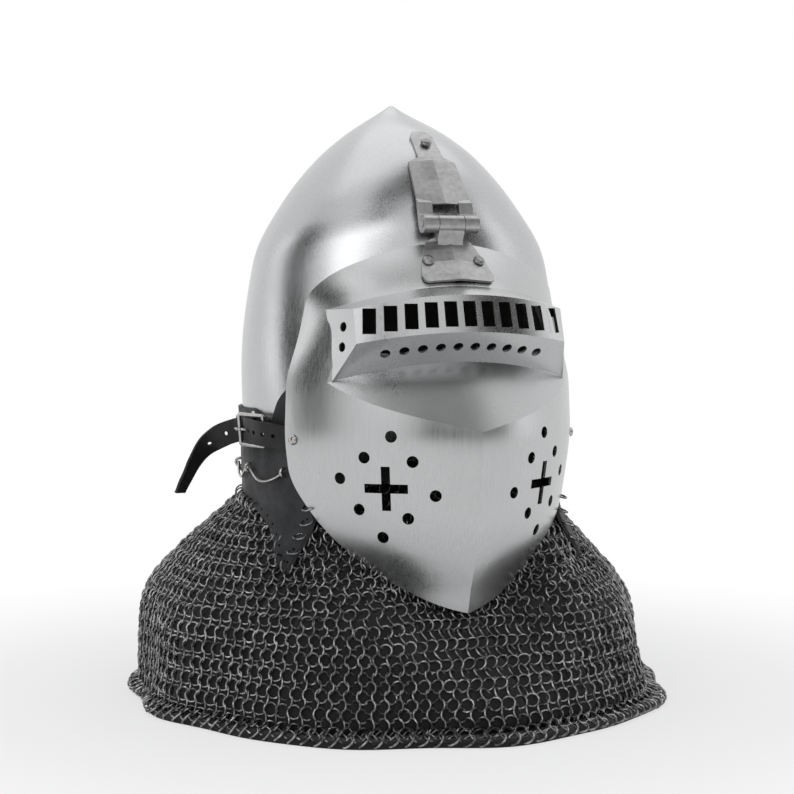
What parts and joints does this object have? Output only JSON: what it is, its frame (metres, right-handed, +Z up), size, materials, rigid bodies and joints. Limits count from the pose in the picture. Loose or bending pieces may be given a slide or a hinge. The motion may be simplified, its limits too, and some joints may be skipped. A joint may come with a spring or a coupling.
{
  "type": "visored bascinet helmet",
  "caption": "Pointed steel helmet with a brow-hinged visor, welded sight box, leather collar, mail aventail and a buckled visor strap.",
  "frame": {"origin": "middle of the mail hem on the table", "axes": "+Z up to the apex, -Y toward the face, +X toward the wearer's left"},
  "size_m": [0.3869, 0.4041, 0.43],
  "materials": {
    "skull_steel": "satin polished plate steel",
    "visor_steel": "satin polished plate steel, brushed upright",
    "hinge_steel": "dull ground steel",
    "rivet_steel": "hammered dull steel",
    "bright_fittings": "bright nickel",
    "collar_leather": "dyed charcoal leather, matt",
    "strap_leather": "dyed charcoal leather, slightly waxed",
    "lining_cloth": "dark quilted cloth",
    "mail_steel": "blackened steel rings"
  },
  "bodies": {
    "helm": {"skull": "skull_steel", "hinge_crown_leaf": "hinge_steel", "hinge_pin": "hinge_steel", "crown_rivet": "rivet_steel", "leather_collar": "collar_leather", "collar_rivets": "bright_fittings", "lacing_staples": "bright_fittings", "lacing_wire": "bright_fittings", "padded_lining": "lining_cloth", "holed_strap": "strap_leather", "buckle_strap": "strap_leather", "strap_rivets": "bright_fittings", "buckle_frame": "bright_fittings", "mail_aventail": "mail_steel"},
    "visor": {"visor_plate": "visor_steel", "sight_box": "visor_steel", "hinge_visor_leaf": "hinge_steel", "hinge_rivets": "rivet_steel", "visor_studs": "bright_fittings"},
    "prong": {"buckle_prong": "bright_fittings"}
  },
  "joints": [
    {"name": "visor_hinge", "type": "hinge", "parent": "helm", "child": "visor", "pos_m": [0, -0.0955, 0.339], "axis": [-1, 0, 0], "range_deg": [0, 95]},
    {"name": "prong_hinge", "type": "hinge", "parent": "helm", "child": "prong", "pos_m": [-0.1168, -0.0415, 0.1958], "axis": [-0.0777, -0.0136, 0.9969], "range_deg": [0, 3]}
  ]
}
